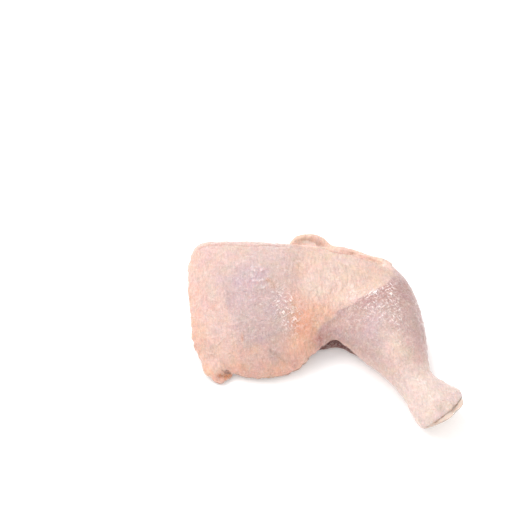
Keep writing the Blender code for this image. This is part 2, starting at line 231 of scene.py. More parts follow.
def through(values, shares, knots=None):
    """A smooth curve through values, one row a knot, read at each of shares.

    Between knots it is the cubic whose end slopes are those of the neighbouring knots' chords.
    """
    rows = np.asarray(values, float)
    knots = np.arange(len(rows), dtype=float) if knots is None else np.asarray(knots, float)
    slopes = np.gradient(rows, knots, axis=0)
    left = np.clip(np.searchsorted(knots, shares, side="right") - 1, 0, len(knots) - 2)
    span = knots[left + 1] - knots[left]
    t = (shares - knots[left]) / span
    shape = t.shape + (1,) * (rows.ndim - 1)
    t, span = t.reshape(shape), span.reshape(shape)
    start, end = rows[left], rows[left + 1]
    from_start, to_end = slopes[left] * span, slopes[left + 1] * span
    return (
        (2 * t**3 - 3 * t**2 + 1) * start
        + (t**3 - 2 * t**2 + t) * from_start
        + (3 * t**2 - 2 * t**3) * end
        + (t**3 - t**2) * to_end
    )


def past_valley(x, y):
    """How far x is past the valley's floor at y, in half widths."""
    held = np.clip(y, VALLEY_Y[0], VALLEY_Y[-1])
    return (x - through(VALLEY_X, held, VALLEY_Y)) / VALLEY_HALF_WIDTH


def past_fat_edge(x, y):
    """How many millimetres x is past the fat skin's edge at y."""
    held = np.clip(y, FAT_EDGE_Y[0], FAT_EDGE_Y[-1])
    return x - through(FAT_EDGE_X, held, FAT_EDGE_Y)


def relief(x, y):
    """Height added to the upper skin: a round valley, and a step that rises back slowly."""
    past_edge = past_fat_edge(x, y)
    drop = FAT_STEP * (1 + np.tanh(past_edge / FAT_STEP_WIDTH)) / 2
    valley = VALLEY_DEPTH * np.exp(-(past_valley(x, y) ** 2))
    return -valley - drop * np.exp(-((past_edge / FAT_STEP_FADE) ** 2))


def unit(rows):
    """A vector, or each row of vectors, at length 1."""
    return rows / np.linalg.norm(rows, axis=-1, keepdims=True)


def powered(wave, power):
    """The wave to a power, with its own sign."""
    return np.sign(wave) * np.abs(wave) ** power


def leg_sections(shares, points_round, chord_scale=1.0, height_scale=1.0):
    """The leg's sections at shares, as an array of sections by points by (x, y, z).

    A point goes across its chord by the cosine of its angle and up by the sine, each to the power
    2 / squareness, and its section leans and bulges onwards at the knuckle.
    """
    column = np.ones((len(shares), 1))
    outer = through([s.outer for s in STATIONS], shares)
    inner = through([s.inner for s in STATIONS], shares)
    fullness = [(s.top, s.under, s.crest, s.squareness, s.lean) for s in STATIONS]
    top, under, crest, squareness, lean = through(fullness, shares).T[:, :, None]
    angle = np.linspace(0, 2 * np.pi, points_round, endpoint=False)
    across = powered(np.cos(angle), 2 / squareness) * (chord_scale * column)
    upward = powered(np.sin(angle), 2 / squareness) * (height_scale * column)
    rise = np.where(upward > 0, top * (1 + crest * across), under) * upward
    middle, half = (outer + inner) / 2, (outer - inner) / 2
    points = middle[:, None] + across[..., None] * half[:, None]
    points[..., 2] += rise
    onward = unit(np.stack([half[:, 1], -half[:, 0], 0 * half[:, 0]], axis=1))
    to_cut = np.clip(shares - (LAST - 1), 0, 1)[:, None]
    bulge = KNUCKLE_BULGE * to_cut**2 * (1 - across**2)
    points += onward[:, None] * (rise * lean + bulge)[..., None]
    points[..., 2] += relief(points[..., 0], points[..., 1]) * np.clip(upward, 0, 1)
    return points


def cut_direction():
    """The way that the leg runs on at the knuckle's cut."""
    near, end = leg_sections(np.array([LAST - LOOK_BACK, LAST]), POINTS_ROUND).mean(axis=1)
    return unit(end - near)


def leg_grid():
    """The leg's skin from the rounded hip end to the rim and the cut at the knuckle."""
    along = np.sin(np.linspace(np.pi / 2, 0, CAP_RINGS, endpoint=False))[:, None]
    cap = leg_sections(
        np.zeros(CAP_RINGS),
        POINTS_ROUND,
        np.maximum((1 - along**HIP_CORNER) ** (1 / HIP_CORNER), SMALLEST_RING),
        np.maximum(np.sqrt(1 - along**2), SMALLEST_RING) * (1 - HIP_SLOPE * along),
    )
    cap[..., 0] -= HIP_CAP * along
    body = leg_sections(np.linspace(0, SKIN_END, LAST * RINGS_A_STATION + 1), POINTS_ROUND)
    end = body[-1]
    middle = end.mean(axis=0)
    radius = np.linalg.norm(end - middle, axis=1)[:, None]
    turn = np.linspace(0, np.pi / 2, RIM_RINGS + 1)[1:, None, None]
    shrunk = 1 - KNUCKLE_RIM * (1 - np.cos(turn)) / radius
    outward = cut_direction()
    rim = middle + (end - middle) * shrunk + outward * KNUCKLE_RIM * np.sin(turn)
    scale = np.array(CUT_RINGS)[:, None]
    cut = leg_sections(np.full(len(CUT_RINGS), SKIN_END), POINTS_ROUND, scale, scale)
    points = np.concatenate([cap, body, rim, cut + outward * KNUCKLE_RIM])
    points[..., 2] = np.maximum(points[..., 2], 0.0)
    return points


def lip_grid():
    """The lip's wall of skin, its foot sunk in the thigh.

    Round each ring the height goes with the sine of the angle and the thickness with the root of
    the cosine, and the wall leans back with the square of its height.
    """
    shares = np.linspace(0, len(LIP_ROUTE) - 1, LIP_RINGS)
    foot = through(LIP_ROUTE, shares)
    rise = through(LIP_RISE, shares)[:, None]
    lean = through(LIP_LEAN, shares)[:, None]
    ends = np.sin(np.pi * np.clip(shares / shares[-1], LIP_TIP, 1 - LIP_TIP)) ** LIP_BLUNTNESS
    angle = np.linspace(0, 2 * np.pi, POINTS_ROUND_SMALL, endpoint=False)
    sunk = np.clip(-np.sin(angle), 0, 1)
    thickness = LIP_THICKNESS + (LIP_FOOT_THICKNESS - LIP_THICKNESS) * sunk
    back = np.cross((0.0, 0.0, 1.0), unit(np.gradient(foot, axis=0)))[:, None]
    height = (rise - LIP_DEPTH) / 2 + np.sin(angle) * (rise + LIP_DEPTH) / 2
    leaning = lean * np.clip(height / rise, 0, 1) ** 2
    across = powered(np.cos(angle), 0.5) * thickness / 2
    spread = LIP_SKIRT * np.clip(1 - np.clip(height / rise, 0, 1) ** 2, 0, 1)
    across = across - spread * np.sqrt(np.clip(-np.cos(angle), 0, 1))
    points = foot[:, None] + back * (across * ends[:, None] + leaning)[..., None]
    points[..., 2] += height
    return points


def tube_grid(route, stops, level, half_width, half_height):
    """Ellipses square to a route at its stops, their width square to the level direction too."""
    centres = through(route, stops)
    along = unit(np.gradient(centres, axis=0))
    sideways = unit(np.cross(along, level))
    upright = np.cross(sideways, along)
    angle = np.linspace(0, 2 * np.pi, POINTS_ROUND_SMALL, endpoint=False)[:, None]
    wide = (half_width[:, None] * sideways)[:, None]
    high = (half_height[:, None] * upright)[:, None]
    points = centres[:, None] + np.cos(angle) * wide + np.sin(angle) * high
    points[..., 2] = np.maximum(points[..., 2], FINGER_LIFT)
    return points


def rope_grid(route, radii):
    """A rope along a route: circles of a changing radius, rounded off at both ends."""
    shares = np.linspace(0, 1, ROPE_RINGS)
    stops = shares * (len(route) - 1)
    rounded = np.sqrt(np.clip(1 - np.abs(2 * shares - 1) ** ROPE_BLUNTNESS, SMALLEST_RING, 1))
    radius = through(radii, stops) * rounded
    return tube_grid(route, stops, (0.0, 1.0, 0.0), radius, radius)


def finger_grid(route, width, height):
    """A blunt finger of skin along a route, an ellipse across it that rounds off at its tip."""
    shares = np.sin(np.linspace(0, np.pi / 2, FINGER_RINGS))
    taper = np.maximum(np.sqrt(1 - shares**FINGER_BLUNTNESS), SMALLEST_RING)
    stops = shares * (len(route) - 1)
    return tube_grid(route, stops, (0.0, 0.0, 1.0), width * taper, height * taper)


def bone_grid():
    """The shank bone: leg sections shrunk to the bone's width and height, then two round knobs.

    The end's dome shrinks with the cosine of a quarter turn, and a groove down its middle parts
    the two knobs that the ankle joint rolls on.
    """
    shares = np.linspace(BONE_STATIONS[0], BONE_STATIONS[-1], BONE_RINGS)
    ends = [(np.array(s.outer) - np.array(s.inner)) / 2 for s in STATIONS]
    halves = np.linalg.norm(through(ends, shares), axis=1)
    depths = through([(s.top + s.under) / 2 for s in STATIONS], shares)
    wide = (through(BONE_WIDTHS, shares, BONE_STATIONS) / halves)[:, None]
    high = (through(BONE_HEIGHTS, shares, BONE_STATIONS) / depths)[:, None]
    shaft = leg_sections(shares, POINTS_ROUND_BONE, wide, high)
    turn = np.linspace(0, np.pi / 2, RIM_RINGS * 3)[:, None]
    shrink = np.maximum(np.cos(turn), SMALLEST_RING)
    dome = leg_sections(
        np.full(len(turn), float(LAST)), POINTS_ROUND_BONE, wide[-1] * shrink, high[-1] * shrink
    )
    dome += cut_direction() * (BONE_REACH + BONE_DOME * np.sin(turn))[..., None]
    return np.concatenate([shaft, dome])


def closed_surface(points):
    """Vertices and faces of a grid of rings: quads between rings and a fan on each end ring."""
    rings, around = points.shape[:2]
    row = np.arange(rings - 1)[:, None] * around
    step = np.arange(around)
    following = (step + 1) % around
    quads = np.stack(
        [row + step, row + following, row + around + following, row + around + step], axis=-1
    ).reshape(-1, 4)
    poles = points[[0, -1]].mean(axis=1)
    first, last = rings * around, rings * around + 1
    top_row = (rings - 1) * around
    first_fan = np.stack([following, step, np.full(around, first)], axis=1)
    last_fan = np.stack([top_row + step, top_row + following, np.full(around, last)], axis=1)
    vertices = np.concatenate([points.reshape(-1, 3), poles])
    return vertices, quads, np.concatenate([first_fan, last_fan])


def mesh_from(name, surfaces):
    """A mesh of one or more closed surfaces, its faces turned outwards."""
    vertices, faces, count = [], [], 0
    for points in surfaces:
        corners, quads, fans = closed_surface(points)
        vertices.append((corners - ORIGIN) * MM)
        faces += (quads + count).tolist() + (fans + count).tolist()
        count += len(corners)
    mesh = bpy.data.meshes.new(name)
    mesh.from_pydata(np.concatenate(vertices), [], faces)
    if signed_volume(mesh) < 0:
        mesh.flip_normals()
    mesh.shade_smooth()
    return mesh


def rows_of(items, name, width, kind=float):
    """One property of all of a mesh's vertices, edges or triangles, as an array of rows."""
    flat = np.empty(len(items) * width, kind)
    items.foreach_get(name, flat)
    return flat.reshape(-1, width)


def signed_volume(mesh):
    """Six times the volume inside a mesh, negative where its faces point inwards."""
    mesh.calc_loop_triangles()
    triangles = rows_of(mesh.loop_triangles, "vertices", 3, np.int32)
    a, b, c = rows_of(mesh.vertices, "co", 3)[triangles].transpose(1, 0, 2)
    return np.einsum("ij,ij->", a, np.cross(b, c))


def add_object(name, data):
    """An object at the origin with that mesh, lamp or camera."""
    piece = bpy.data.objects.new(name, data)
    bpy.context.scene.collection.objects.link(piece)
    return piece


def fused(piece, pitch):
    """The piece's overlapping shells as one skin of quads of about that pitch."""
    remesh = piece.modifiers.new("fuse", "REMESH")
    remesh.mode = "VOXEL"
    remesh.voxel_size = pitch * MM
    remesh.use_smooth_shade = True
    evaluated = piece.evaluated_get(bpy.context.evaluated_depsgraph_get())
    mesh = bpy.data.meshes.new_from_object(evaluated)
    piece.modifiers.clear()
    old = piece.data
    piece.data = mesh
    bpy.data.meshes.remove(old)
    mesh.name = piece.name
    return mesh


def relaxed(points, edges, rounds):
    """Points drawn towards the mean of their neighbours, a share of the way each round."""
    count = len(points)
    degree = np.bincount(edges.ravel(), minlength=count)[:, None]
    a, b = edges.T
    for _ in range(rounds):
        sums = [
            np.bincount(a, points[b, k], count) + np.bincount(b, points[a, k], count)
            for k in range(3)
        ]
        points = points + RELAX_SHARE * (np.stack(sums, axis=1) / degree - points)
    return points


# Seeded lattices repeat after this many cells
LATTICE_SIDE = 64


def noise(points, spacing, seed):
    """Smooth noise from -1 to 1: seeded values on a lattice of that spacing, blended between.

    spacing is in millimetres, one number or one for each axis.
    """
    table = np.random.default_rng(seed).uniform(-1, 1, (LATTICE_SIDE,) * 3)
    cell = points / spacing
    low = np.floor(cell).astype(int)
    t = cell - low
    t = t**3 * (t * (6 * t - 15) + 10)
    total = np.zeros(len(points))
    for corner in product((0, 1), repeat=3):
        weight = np.prod(np.where(corner, t, 1 - t), axis=1)
        at = (low + corner) % LATTICE_SIDE
        total += weight * table[at[:, 0], at[:, 1], at[:, 2]]
    return total


def follicles(plan, spacing, seed):
    """Distance in millimetres from each plan place to the nearest of jittered lattice points."""
    jitter = np.random.default_rng(seed).uniform(0.15, 0.85, (LATTICE_SIDE, LATTICE_SIDE, 2))
    cell = plan / spacing
    low = np.floor(cell).astype(int)
    nearest = np.full(len(plan), np.inf)
    for offset in product((-1, 0, 1), repeat=2):
        at = low + offset
        point = at + jitter[at[:, 0] % LATTICE_SIDE, at[:, 1] % LATTICE_SIDE]
        nearest = np.minimum(nearest, np.linalg.norm(cell - point, axis=1))
    return nearest * spacing


def smooth(values, start, end):
    """0 before start, 1 after end and a smooth rise between; start may be the greater."""
    t = np.clip((values - start) / (end - start), 0, 1)
    return t * t * (3 - 2 * t)


def near_line(points, path, half_width):
    """1 on a path, falling off round it as a bell of that half width.

    The path's points are (x, y, z), or (x, y) where it is drawn on the upper skin in plan.
    """
    nearest = np.full(len(points), np.inf)
    stops = np.array(path, float)
    for start, end in zip(stops, stops[1:]):
        span = end - start
        offset = points[:, : len(start)] - start
        share = np.clip(offset @ span / (span @ span), 0, 1)
        away = np.linalg.norm(offset - share[:, None] * span, axis=1)
        nearest = np.minimum(nearest, away)
    return np.exp(-((nearest / half_width) ** 2))


def in_patch(points, centre, half_length, half_width, turn=0.0, hardness=1.0):
    """1 at a plan place, falling off as a bell over an ellipse whose length turns from +X.

    Above a hardness of 1 the bell has a flatter middle and a more sudden edge.
    """
    angle = np.radians(turn)
    offset = points[:, :2] - centre
    along = offset @ (np.cos(angle), np.sin(angle))
    across = offset @ (-np.sin(angle), np.cos(angle))
    return np.exp(-(((along / half_length) ** 2 + (across / half_width) ** 2) ** hardness))


def down_drumstick(points):
    """Millimetres from the knee along the drumstick, towards the knuckle."""
    return (points[:, :2] - DRUM_START) @ DRUM_ALONG


def ribbed_zone(points, normals):
    """Where the skin has ribs: on the web, most of all in front of its middle."""
    web = smooth(past_valley(points[:, 0], points[:, 1]), -0.4, 0.6)
    web *= smooth(past_fat_edge(points[:, 0], points[:, 1]), 1.0, -2.0)
    middle = in_patch(points, (8.0, 4.0), 20.0, 20.0)
    back = in_patch(points, (2.0, 30.0), 30.0, 20.0)
    return np.clip(web * (middle + 0.35 * back), 0, 1) * smooth(normals[:, 2], -0.3, 0.3)


def ridges(points, spacing, seed):
    """Thin winding ridges, 1 on their crests and 0 between, where smooth noise crosses nought."""
    return (1 - np.abs(noise(points, spacing, seed))) ** 4


def turned(points, degrees):
    """The points turned in plan, so that a stretched pattern lies along another way."""
    angle = np.radians(degrees)
    cosine, sine = np.cos(angle), np.sin(angle)
    return points @ np.array([[cosine, -sine, 0], [sine, cosine, 0], [0, 0, 1]])


# Relief all over the skin, in millimetres: how high, how far apart and which seed
LUMPS = [(0.34, 14.0, 1), (0.22, 6.5, 2)]
CRINKLES = [(0.28, 4.4, 3), (0.20, 2.6, 4)]
FINE_GRAIN = (0.10, 1.5, 5)
FOLLICLE_HEIGHT = 0.10
FOLLICLE_SPACING = 4.6
FOLLICLE_RADIUS = 1.0
RIB_HEIGHT = 0.28
RIB_SPACING = (1.4, 11.0, 11.0)

# Folds along the thigh's low edge: their way in plan, and long folds and short ones
FOLD_WAY = -42.0
LONG_FOLDS = (0.9, (8.0, 2.6, 8.0), 8)
SHORT_FOLDS = (0.35, 3.6, 9)

# How far and how fast the winding patterns drift to the side
DRIFT = 1.8
DRIFT_SPACING = 6.0

# Broad dents and swellings: the rise, and the patch's middle, half length, half width and turn
SKIN_SWELLS = [
    (-0.9, (-55.0, 1.0), 6.0, 12.0, -74.0),
    (-0.6, (-40.0, -30.0), 14.0, 4.0, 8.0),
    (0.8, (-13.0, -27.0), 8.0, 5.0, 30.0),
]


def layer(points, size, spacing, seed):
    """Noise that is size millimetres high either way."""
    return size * noise(points, spacing, seed)


def skin_height(points, normals):
    """Millimetres that the skin is raised along its normal at each point.

    Lumps, winding crinkles, follicles on the lit side, ribs on the web, slanting folds along the
    thigh's low edge, and creases and beads along named lines.
    """
    upper = smooth(normals[:, 2], -0.3, 0.3)
    knuckle = smooth(down_drumstick(points), 55.0, 70.0)
    low_edge = smooth(points[:, 2], 22.0, 10.0) * (1 - knuckle)
    thigh = smooth(points[:, 0], 14.0, 0.0)
    drift = np.stack([noise(points, DRIFT_SPACING, seed) for seed in (11, 12, 13)], axis=1)
    bent = points + DRIFT * drift
    lumps = sum(layer(points, *lump) for lump in LUMPS)
    crinkle = sum(size * ridges(bent, spacing, seed) for size, spacing, seed in CRINKLES)
    away = follicles(points[:, :2], FOLLICLE_SPACING, 5)
    bumps = FOLLICLE_HEIGHT * np.exp(-((away / FOLLICLE_RADIUS) ** 2)) * upper
    height = (lumps + bumps) * (1 - 0.7 * knuckle) + crinkle + layer(points, *FINE_GRAIN)
    height += RIB_HEIGHT * noise(bent, RIB_SPACING, 7) * ribbed_zone(points, normals)
    slanted = layer(turned(bent, FOLD_WAY), *LONG_FOLDS) + layer(bent, *SHORT_FOLDS)
    height += slanted * low_edge * (0.35 + 0.65 * thigh) * smooth(normals[:, 2], 0.95, 0.3)
    for rise, *patch in SKIN_SWELLS:
        height += rise * in_patch(points, *patch)
    for path, half_width, rise in SKIN_LINES:
        height += rise * near_line(points, path, half_width)
    return height


# The crease over the tucked corner, from the tip of its fold to the table
TUCK_CREASE = [
    (-58.6, -37.2, 7.6),
    (-56.2, -36.6, 5.0),
    (-53.7, -36.8, 4.0),
    (-51.2, -36.6, 2.7),
    (-47.5, -37.9, 2.0),
]

# The skin's ridge over that crease and its pink rim, then the tucked corner's lit side and the
# hollow of its fold
TUCK_RIDGE = [(-60.0, -35.2, 10.4), (-56.5, -35.8, 8.2), (-52.5, -35.6, 6.0), (-48.0, -36.4, 5.0)]
TUCK_RIM = [(-58.6, -36.3, 8.2), (-56.2, -35.9, 5.5), (-53.7, -36.2, 4.8), (-51.2, -36.1, 3.6)]
TUCK_LIT_SIDE = [(-67.5, -35.5, 9.0), (-65.4, -39.1, 8.5), (-63.6, -40.8, 5.5), (-62.4, -42.0, 3.0)]
TUCK_HOLLOW = [(-60.5, -39.6, 6.1), (-58.6, -39.6, 4.5), (-56.2, -39.5, 3.9), (-54.0, -38.6, 4.0)]

# Along the inside of the lip
LIP_INSIDE = [(-12.0, 49.9, 27.0), (-7.4, 48.5, 27.0), (-2.2, 49.1, 27.3), (2.4, 47.6, 26.4)]

# Where the second layer of skin ends along the thigh's back
BACK_SEAM = [
    (-75.0, 49.8, 21.4),
    (-71.0, 50.5, 23.7),
    (-66.4, 49.8, 25.5),
    (-57.7, 47.9, 28.3),
    (-47.9, 43.8, 31.9),
    (-38.2, 41.7, 33.8),
    (-31.0, 43.4, 32.0),
    (-22.0, 42.4, 33.0),
    (-16.5, 44.5, 31.0),
]

# Under the bead that goes on from the lip, first to its knot and then to the knee
BEAD_START = [(6.9, 45.0), (10.0, 43.0), (12.6, 40.9), (16.0, 40.2), (21.5, 40.4), (25.0, 40.6)]
BEAD_END = [(30.5, 36.5), (34.5, 34.8), (39.9, 33.0), (44.0, 31.0)]

# A slanting crease above the thigh's low edge, and the web's bare rim over the gap
FRONT_CREASE = [(-28.0, -32.4), (-24.5, -33.8), (-20.0, -35.4)]
WEB_RIM = [(-2.0, -27.0, 9.5), (3.0, -22.5, 12.0), (12.0, -18.5, 14.0), (21.0, -24.5, 13.5)]

# Lines on the skin: their points, half width and rise, which is below 0 for a crease
SKIN_LINES = [
    # the thigh's skin edge over the tucked corner, and the hollow of the corner's fold
    (TUCK_CREASE, 0.8, -1.1),
    (TUCK_RIDGE, 1.1, 0.6),
    ([(-59.6, -39.3, 5.6), (-56.2, -39.0, 3.8)], 1.5, -0.7),
    # the lip's shallow dish, and under the bead that goes on from it
    ([(-12.5, 50.4, 27.0), (-8.0, 50.4, 28.0), (-3.5, 49.8, 27.8), (0.5, 48.8, 27.0)], 1.3, 1.0),
    (BEAD_START, 0.9, -0.8),
    ([BEAD_START[-1], *BEAD_END], 0.9, -0.8),
    # the second layer of skin along the back edge
    (BACK_SEAM, 0.8, -0.5),
    # the notch past the knee's flap, and the small tab at the knee's corner
    ([(51.5, 31.0, 27.0), (52.0, 27.0, 27.0), (51.0, 23.0, 29.0)], 1.2, -0.9),
    ([(45.0, 31.0, 28.0), (50.0, 27.5, 28.5)], 2.0, 0.7),
    # a slanting crease above the thigh's low edge, and the ridge beside it
    (FRONT_CREASE, 0.9, -0.45),
    ([(-26.0, -31.0), (-22.0, -32.2), (-18.0, -33.6)], 1.2, 0.4),
    (WEB_RIM, 1.0, 0.3),
]


def bone_height(points, _normals):
    """Millimetres that the bone is raised: a groove between the two knobs, and fine lumps."""
    end = leg_sections(np.array([float(LAST)]), POINTS_ROUND).mean(axis=1)[0]
    past_cut = (points - end) @ cut_direction()
    inner, outer = np.array(STATIONS[-1].inner), np.array(STATIONS[-1].outer)
    across = (points - (inner + outer) / 2) @ unit(outer - inner)
    groove = -GROOVE_DEPTH * np.exp(-((across / GROOVE_HALF_WIDTH) ** 2))
    groove *= smooth(past_cut, -3.0, 0.5)
    return groove + 0.16 * noise(points, 3.4, 21)


def linear(hex_colour):
    """The linear red, green and blue of an sRGB hex colour."""
    value = np.array([int(hex_colour[i : i + 2], 16) for i in (1, 3, 5)]) / 255
    return np.where(value <= 0.04045, value / 12.92, ((value + 0.055) / 1.055) ** 2.4)


# What shows through or on the skin, and the painted shade and painted light laid over it
PALE_PINK = "#c8a89e"
BEIGE_PINK = "#c1a8a0"
YELLOW_PINK = "#c9a288"
CREAM_FAT = "#d3b7aa"
DULL_CREAM = "#c4a596"
MAUVE_MEAT = "#b69b98"
DEEP_MAUVE = "#a98f90"
LAVENDER = "#b49a9f"
DRUM_MAUVE = "#b49692"
CROTCH_PINK = "#bd968d"
# brown-mauve meat, darkened partly as painted shade
DRUM_BROWN_AND_SHADE = "#a17c75"
PEACH = "#cf987e"
LIT_PEACH = "#e0ab94"
ORANGE_FAT = "#bf7d55"
# a red darkened as painted shade, for hollows and under rims and beads
RED_HOLLOW_SHADE = "#b0685a"
ROLL_PEACH = "#deb6a4"
SHANK_CREAM = "#d0b9b0"
# the knuckle cut's dried brown rim, also laid as painted shade in creases and under the thigh
CUT_BROWN_AND_PAINTED_SHADE = "#8d6647"
CUT_CREAM = "#d8c0b0"
BRUISE = "#9c9282"
# raw meat darkened as painted shade
SHADED_RAW_MEAT = "#602f29"
RIM_PINK = "#deb5a8"
# pale pink, laid in the lip's dish as painted light against its shade, and on the knee's tab
PALE_INSIDE = "#f0cfc4"
# painted shade for creases and notches
PAINTED_CREASE_SHADE = "#5c382c"
# for a darker line along the back seam, and painted contact shade low on the thigh
SEAM_LINE_AND_CONTACT_SHADE = "#a9745f"
MEAT_IN_SHADE = "#8f6a60"
LIT_CREAM = "#dfc6b9"


def past_skin_end(points):
    """How many millimetres a point is past the skin's edge at the knuckle.

    The edge leans and bulges: how far out it is follows the height and the square of the distance
    across, fitted to its ring.
    """
    ring = leg_sections(np.array([SKIN_END]), POINTS_ROUND)[0]
    outward = cut_direction()
    sideways = np.cross(outward, (0.0, 0.0, 1.0))

    def terms(places):
        across = np.clip((places - ring.mean(axis=0)) @ sideways, -EDGE_REACH, EDGE_REACH)
        return np.stack([np.ones(len(places)), across, across**2, places[:, 2]], axis=1)

    fit = np.linalg.lstsq(terms(ring), ring @ outward, rcond=None)[0]
    return points @ outward - terms(points) @ fit - KNUCKLE_RIM * 0.5


def from_rope(points, route, radii):
    """How many millimetres a point is outside a rope's surface."""
    stops = np.linspace(0, len(route) - 1, ROPE_RINGS // 4)
    nearest = np.full(len(points), np.inf)
    for centre, radius in zip(through(route, stops), through(radii, stops)):
        nearest = np.minimum(nearest, np.linalg.norm(points - centre, axis=1) - radius)
    return np.maximum(nearest, 0)


# Zones of colour, laid over one another in this order: the colour, its strength, the part of the
# skin that takes it, and for a patch its middle, half length, half width, turn and hardness
TONE_ZONES = [
    (PEACH, 0.55, "low sides"),
    (BEIGE_PINK, 0.9, "upper", (-22.0, 30.0), 40.0, 20.0),
    (MAUVE_MEAT, 0.95, "thigh meat"),
    (PEACH, 0.2, "hip end"),
    (LAVENDER, 0.7, "upper", (-44.0, 16.0), 13.0, 11.0),
    # deep mauve meat, darkened at the thigh's left edge as painted shade of the dent there
    (DEEP_MAUVE, 0.6, "meat's left edge in painted shade"),
    (DEEP_MAUVE, 0.4, "upper", (-36.0, 4.0), 8.0, 7.0),
    (DEEP_MAUVE, 0.2, "upper", (-36.0, -26.0), 12.0, 6.0),
    (PEACH, 0.4, "all", (-37.0, -31.0), 14.0, 4.0),
    (LIT_CREAM, 0.6, "all", (-60.0, -35.0), 8.0, 7.0),
    (LIT_PEACH, 0.45, "low thigh's folds"),
    (PEACH, 0.15, "between the folds"),
    (PALE_PINK, 0.6, "upper", (-64.0, -28.0), 12.0, 10.0),
    (CREAM_FAT, 0.9, "web"),
    (YELLOW_PINK, 0.5, "mottle", (-9.0, 22.0), 6.0, 9.0),
    (DULL_CREAM, 0.6, "all", (0.0, 34.0), 14.0, 8.0),
    (DULL_CREAM, 0.9, "off drumstick", (38.0, 20.0), 18.0, 16.0),
    (PEACH, 0.95, "less on drumstick", (-7.0, -16.0), 9.0, 16.0, -14.0, 1.4),
    (PEACH, 0.5, "all", (-12.0, 0.0), 5.0, 9.0),
    (ORANGE_FAT, 0.22, "all", (-15.0, -16.0), 5.0, 8.0),
    (PEACH, 0.6, "off drumstick", (6.0, -7.0), 10.0, 8.0),
    (DRUM_MAUVE, 0.95, "drumstick meat"),
    # brown-mauve on the knee and the drumstick's upper side, partly painted shade
    (DRUM_BROWN_AND_SHADE, 0.85, "drumstick", (57.0, 12.0), 9.0, 14.0, -8.0),
    (DRUM_BROWN_AND_SHADE, 0.85, "drumstick", (40.0, 0.0), 24.0, 9.0, 14.0),
    (CROTCH_PINK, 0.7, "drumstick", (9.0, -15.0), 12.0, 6.0, 20.0),
    (LAVENDER, 0.5, "drumstick mottle", (38.0, -24.0), 8.0, 9.0),
    (PALE_PINK, 0.6, "drumstick", (54.0, -34.0), 14.0, 12.0, -60.0),
    (SHANK_CREAM, 1.0, "shank"),
    (LIT_CREAM, 0.65, "all", (46.0, -35.0), 12.0, 8.0, -60.0),
    (LIT_PEACH, 0.85, "off drumstick", (-12.0, -29.0), 11.0, 6.0, 26.0),
    (ORANGE_FAT, 0.5, "all", (-30.0, 12.0), 1.8, 2.4),
    (ORANGE_FAT, 0.3, "all", (-27.0, 7.0), 2.0, 3.6),
    (ORANGE_FAT, 0.3, "all", (-36.0, 10.0), 1.4, 1.6),
    (ORANGE_FAT, 0.3, "all", (-13.0, -12.0), 2.6, 5.0),
    (ORANGE_FAT, 0.6, "thin streak"),
    (ORANGE_FAT, 0.3, "mottle", (-65.0, 4.0), 3.0, 8.0, 60.0),
    (YELLOW_PINK, 0.6, "mottle", (-14.0, -24.0), 8.0, 5.0),
    (MAUVE_MEAT, 0.5, "all", (-26.0, -32.0), 6.0, 3.0, -20.0),
]

# Lines of colour on the skin: their points, half width, colour and strength
TONE_LINES = [
    (TUCK_LIT_SIDE, 2.2, LIT_PEACH, 0.7),
    (TUCK_HOLLOW, 1.5, ORANGE_FAT, 0.9),
    (TUCK_RIM, 0.9, RIM_PINK, 0.7),
    # painted shade along the crease over the tucked corner, brown then dark
    (TUCK_CREASE[:2], 0.5, CUT_BROWN_AND_PAINTED_SHADE, 0.5),
    (TUCK_CREASE[1:], 0.5, PAINTED_CREASE_SHADE, 0.75),
    # the lip's inside painted pale, painted light against the shade of its hollow, and the red
    # streak under its rim, darkened as painted shade
    (LIP_INSIDE, 2.2, PALE_INSIDE, 0.95),
    ([(-3.4, 50.0, 27.8), (-0.9, 49.2, 26.9), (3.0, 47.9, 26.2)], 0.8, RED_HOLLOW_SHADE, 0.5),
    # under the bead, darkened red as painted shade, and the tab at the knee's corner with the notch
    # past it in painted shade
    (BEAD_START, 0.9, RED_HOLLOW_SHADE, 0.5),
    ([(27.5, 38.4), *BEAD_END], 0.8, RED_HOLLOW_SHADE, 0.35),
    ([(45.0, 30.6, 29.4), (49.7, 27.0, 29.0)], 1.9, PALE_INSIDE, 0.7),
    ([(51.8, 29.0, 27.0), (52.3, 24.5, 28.0)], 0.9, PAINTED_CREASE_SHADE, 0.5),
    # a darker line along the back seam
    (BACK_SEAM, 0.7, SEAM_LINE_AND_CONTACT_SHADE, 0.45),
    # painted shade in the slanting crease above the thigh's low edge
    (FRONT_CREASE, 0.6, CUT_BROWN_AND_PAINTED_SHADE, 0.3),
    (WEB_RIM, 1.0, RIM_PINK, 0.6),
]

# How far the zones' edges waver to the side: most of them, and the sharper ones
WAVER = 2.4
SHARP_WAVER = 0.8


